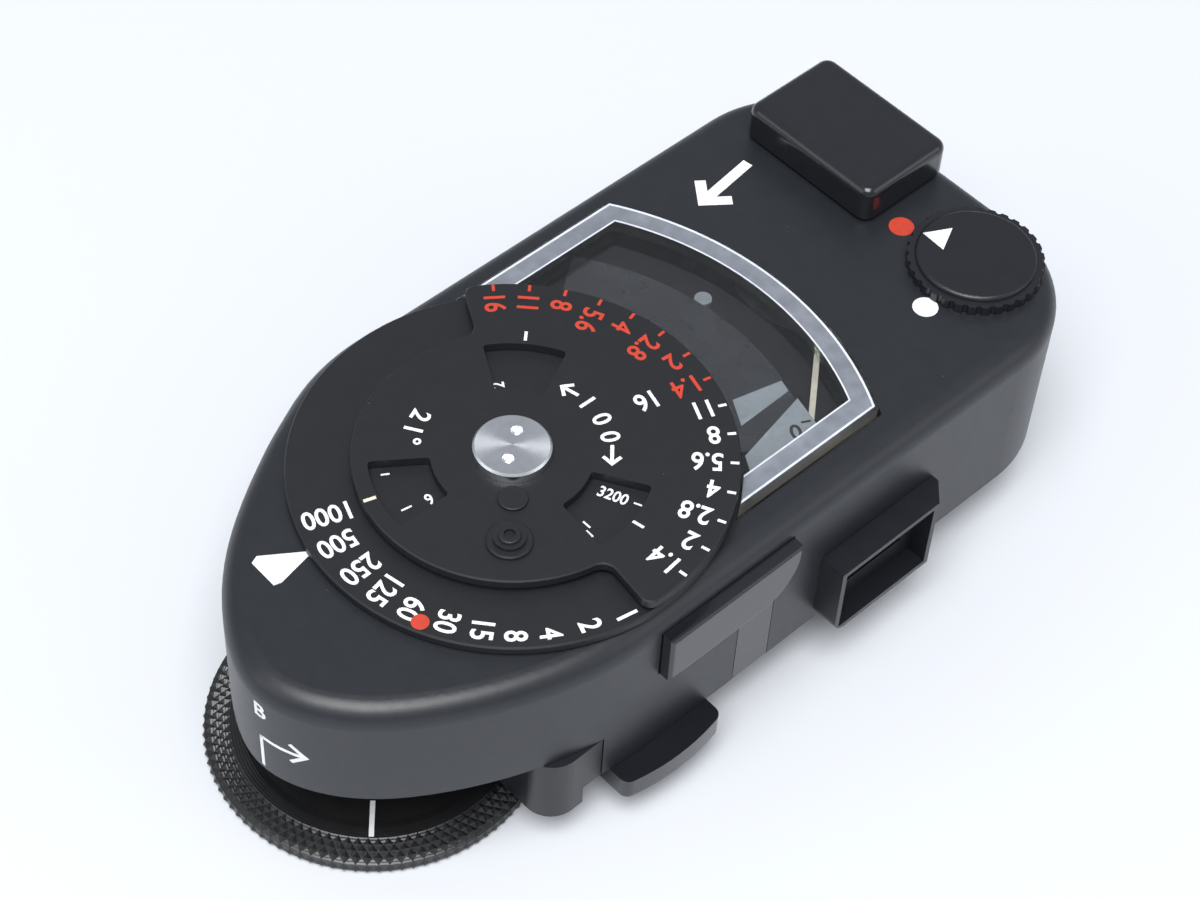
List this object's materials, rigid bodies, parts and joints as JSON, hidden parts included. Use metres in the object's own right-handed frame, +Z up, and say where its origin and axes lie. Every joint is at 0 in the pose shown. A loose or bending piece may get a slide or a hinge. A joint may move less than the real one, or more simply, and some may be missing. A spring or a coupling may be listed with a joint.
{
  "type": "clip-on exposure meter",
  "caption": "Pocket light meter with a window and needle, stacked shutter, aperture and film-speed dials, a light cell at the front, a coupling disc and an accessory foot.",
  "frame": {"origin": "middle of the accessory foot's underside, the face the meter rests on", "axes": "+X along the body to its square end, -Y the side with the light cell, +Z up out of the dials"},
  "size_m": [0.0693, 0.035, 0.0221],
  "materials": {
    "black_anodised": "black anodised, turned and knurled",
    "black_paint": "fine satin blue-black paint on metal",
    "board": "brown laminate",
    "brass": "machined brass",
    "bright_metal": "turned bright metal",
    "clear": "clear acrylic window",
    "copper": "enamelled copper winding",
    "dial_black": "matt black dial with filled markings",
    "gloss_black": "glossy black moulding",
    "magnet": "cast magnet",
    "needle_cream": "cream painted needle",
    "satin_black": "satin black moulding",
    "scale_grey": "printed scale plate",
    "steel": "bright steel"
  },
  "bodies": {
    "housing": {"accessory_foot": "satin_black", "bar_contact": "brass", "bar_spring": "steel", "base_housing": "satin_black", "button_cell": "steel", "cell_contact": "brass", "cell_hood": "satin_black", "cell_window": "clear", "centre_screw": "bright_metal", "circuit_board": "board", "cover_screws": "steel", "dial_post": "brass", "door_rails": "satin_black", "foot_screws": "steel", "foot_spring": "steel", "hair_springs": "steel", "jewel_screws": "brass", "lift_spring": "steel", "mechanism_plate": "brass", "meter_bridges": "brass", "meter_core": "steel", "meter_magnet": "magnet", "nose_plate": "satin_black", "nose_screws": "steel", "photo_cell": "steel", "plate_screws": "steel", "range_board": "board", "resistors": "satin_black", "shaft_bushes": "brass", "slide_spring": "steel", "top_cover": "black_paint", "trim_resistors": "satin_black", "window_lens": "clear", "window_scale": "scale_grey", "window_well": "dial_black"},
    "ring": {"shutter_ring": "dial_black", "film_scale_disc": "dial_black", "ring_gear": "brass"},
    "aperture_dial": {"aperture_plate": "dial_black", "turning_peg": "gloss_black", "rivet_button": "gloss_black"},
    "coupling_shaft": {"coupling_shaft": "steel", "coupling_gear": "brass", "coupling_screw": "steel"},
    "coupling_disc": {"coupling_disc": "black_anodised", "coupling_pin": "steel"},
    "needle": {"needle": "needle_cream", "meter_coil": "copper", "pivot_staffs": "steel"},
    "measuring_slide": {"measuring_slide": "gloss_black", "slide_carriage": "satin_black"},
    "range_knob": {"range_knob": "satin_black", "range_shaft": "steel", "range_wiper": "brass"},
    "test_bar": {"test_bar": "gloss_black"},
    "battery_door": {"battery_door": "gloss_black"}
  },
  "joints": [
    {"name": "coupling_disc_turn", "type": "hinge", "parent": "housing", "child": "coupling_shaft", "pos_m": [-0.033, 0, 0.0069], "axis": [0, 0, 1], "range_deg": [-10, 97]},
    {"name": "coupling_disc_lift", "type": "slide", "parent": "coupling_shaft", "child": "coupling_disc", "axis": [0, 0, 1], "range_m": [0, 0.001], "stiffness_N_per_m": 400, "springref_m": -0.001, "deforming": ["lift_spring"]},
    {"name": "shutter_ring_turn", "type": "hinge", "parent": "housing", "child": "ring", "pos_m": [-0.0205, 0, 0.0189], "axis": [0, 0, 1], "range_deg": [-97, 10]},
    {"name": "film_speed_turn", "type": "hinge", "parent": "ring", "child": "aperture_dial", "pos_m": [-0.0205, 0, 0.0204], "axis": [0, 0, 1], "range_deg": [-10, 88]},
    {"name": "needle_swing", "type": "hinge", "parent": "housing", "child": "needle", "pos_m": [0.012, 0.0013, 0.0164], "axis": [0, 0, -1], "range_deg": [0, 80], "stiffness_Nm_per_rad": 0.00001, "springref_deg": -17.19},
    {"name": "measuring_slide_travel", "type": "slide", "parent": "housing", "child": "measuring_slide", "axis": [-1, 0, 0], "range_m": [0, 0.0025], "stiffness_N_per_m": 300, "springref_m": -0.001, "deforming": ["slide_spring"]},
    {"name": "range_knob_turn", "type": "hinge", "parent": "housing", "child": "range_knob", "pos_m": [0.0181, -0.00775, 0.0189], "axis": [0, 0, 1], "range_deg": [0, 85]},
    {"name": "test_bar_press", "type": "slide", "parent": "housing", "child": "test_bar", "axis": [0, 1, 0], "range_m": [0, 0.0008], "stiffness_N_per_m": 400, "springref_m": -0.001, "deforming": ["bar_spring"]},
    {"name": "battery_door_slide", "type": "slide", "parent": "housing", "child": "battery_door", "axis": [0, -1, 0], "range_m": [0, 0.02]}
  ],
  "couplings": [
    {"joint": "shutter_ring_turn", "follows": "coupling_disc_turn", "ratio": -1}
  ]
}
